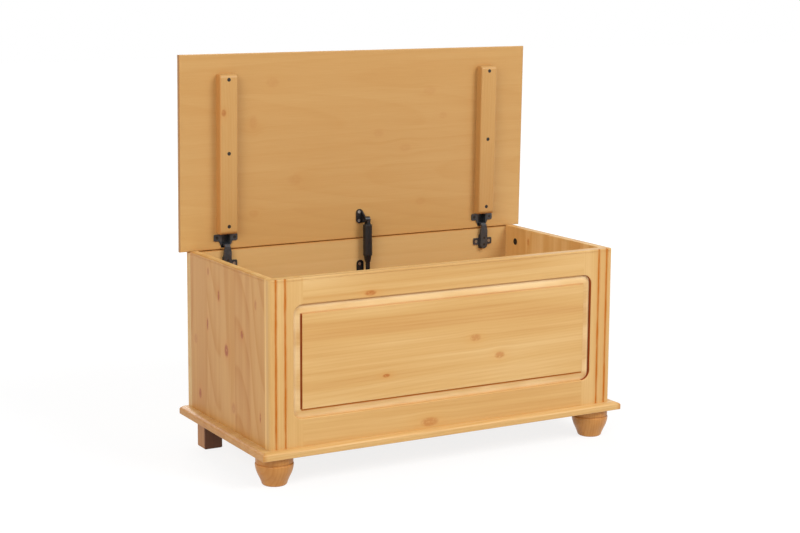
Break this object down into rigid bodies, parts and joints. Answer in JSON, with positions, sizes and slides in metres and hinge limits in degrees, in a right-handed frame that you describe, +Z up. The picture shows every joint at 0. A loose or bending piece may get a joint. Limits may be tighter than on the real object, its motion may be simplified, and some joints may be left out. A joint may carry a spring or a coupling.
{
  "type": "wooden toy box",
  "caption": "Pine toy chest with a raised front panel, grooved stiles, turned front feet and a battened lid on concealed cup hinges with a gas stay.",
  "frame": {"origin": "on the floor, at the middle of the space the box takes up with its lid open at rest", "axes": "+X to the box's right seen from the front, +Y from the front to the back, +Z up"},
  "size_m": [0.842, 0.4101, 0.8134],
  "materials": {
    "pine_base": "satin clear lacquer on pine",
    "pine_side": "satin clear lacquer on pine",
    "pine_back": "satin clear lacquer on pine",
    "pine_stile": "satin clear lacquer on pine",
    "pine_rail": "satin clear lacquer on pine",
    "pine_panel": "satin clear lacquer on pine",
    "pine_foot": "satin clear lacquer on pine",
    "pine_block": "satin clear lacquer on pine",
    "pine_lid": "satin clear lacquer on pine",
    "pine_batten": "satin clear lacquer on pine",
    "dowel_wood": "raw beech",
    "hinge_black": "satin black",
    "stay_black": "semi-gloss black",
    "zinc_steel": "zinc plated",
    "dark_zinc": "dark plated",
    "rod_steel": "ground and darkened"
  },
  "bodies": {
    "carcass": {"base_board": "pine_base", "left_side_panel": "pine_side", "right_side_panel": "pine_side", "back_panel": "pine_back", "front_left_stile": "pine_stile", "front_right_stile": "pine_stile", "front_top_rail": "pine_rail", "front_bottom_rail": "pine_rail", "front_panel": "pine_panel", "front_left_foot": "pine_foot", "front_right_foot": "pine_foot", "rear_left_foot": "pine_block", "rear_right_foot": "pine_block", "foot_bolts": "zinc_steel", "rail_dowels": "dowel_wood", "carcass_dowels": "dowel_wood", "base_screws": "zinc_steel", "cam_housings": "dark_zinc", "cam_bolts": "zinc_steel", "left_hinge_plate": "hinge_black", "right_hinge_plate": "hinge_black", "left_hinge_arm": "hinge_black", "right_hinge_arm": "hinge_black", "hinge_plate_screws": "zinc_steel", "hinge_arm_screws": "dark_zinc", "stay_lower_bracket": "stay_black", "stay_lower_stud": "zinc_steel", "stay_lower_screws": "zinc_steel"},
    "lid": {"lid_board": "pine_lid", "left_batten": "pine_batten", "right_batten": "pine_batten", "batten_screws": "dark_zinc", "left_hinge_cup": "hinge_black", "right_hinge_cup": "hinge_black", "hinge_pins": "zinc_steel", "hinge_cup_screws": "dark_zinc", "stay_upper_bracket": "stay_black", "stay_upper_screws": "zinc_steel"},
    "stay_rod_set": {"stay_rod": "rod_steel", "stay_rod_eye": "stay_black", "stay_piston": "stay_black"},
    "stay_cylinder_set": {"stay_cylinder": "stay_black", "stay_gland": "stay_black", "stay_cylinder_eye": "stay_black"}
  },
  "joints": [
    {"name": "lid_hinge", "type": "hinge", "parent": "carcass", "child": "lid", "pos_m": [0, 0.194, 0.4145], "axis": [1, 0, 0], "range_deg": [-4, 89]},
    {"name": "stay_swing", "type": "hinge", "parent": "carcass", "child": "stay_rod_set", "pos_m": [0.014, 0.168, 0.277], "axis": [1, 0, 0], "range_deg": [-0.26, 4.67]},
    {"name": "stay_stroke", "type": "slide", "parent": "stay_rod_set", "child": "stay_cylinder_set", "axis": [0, 0.0201, 0.9998], "range_m": [-0.05463, 0.00265]}
  ],
  "couplings": [
    {"joint": "stay_swing", "follows": "lid_hinge", "ratio": 0.051938},
    {"joint": "stay_stroke", "follows": "lid_hinge", "m_per_rad": -0.035043}
  ]
}
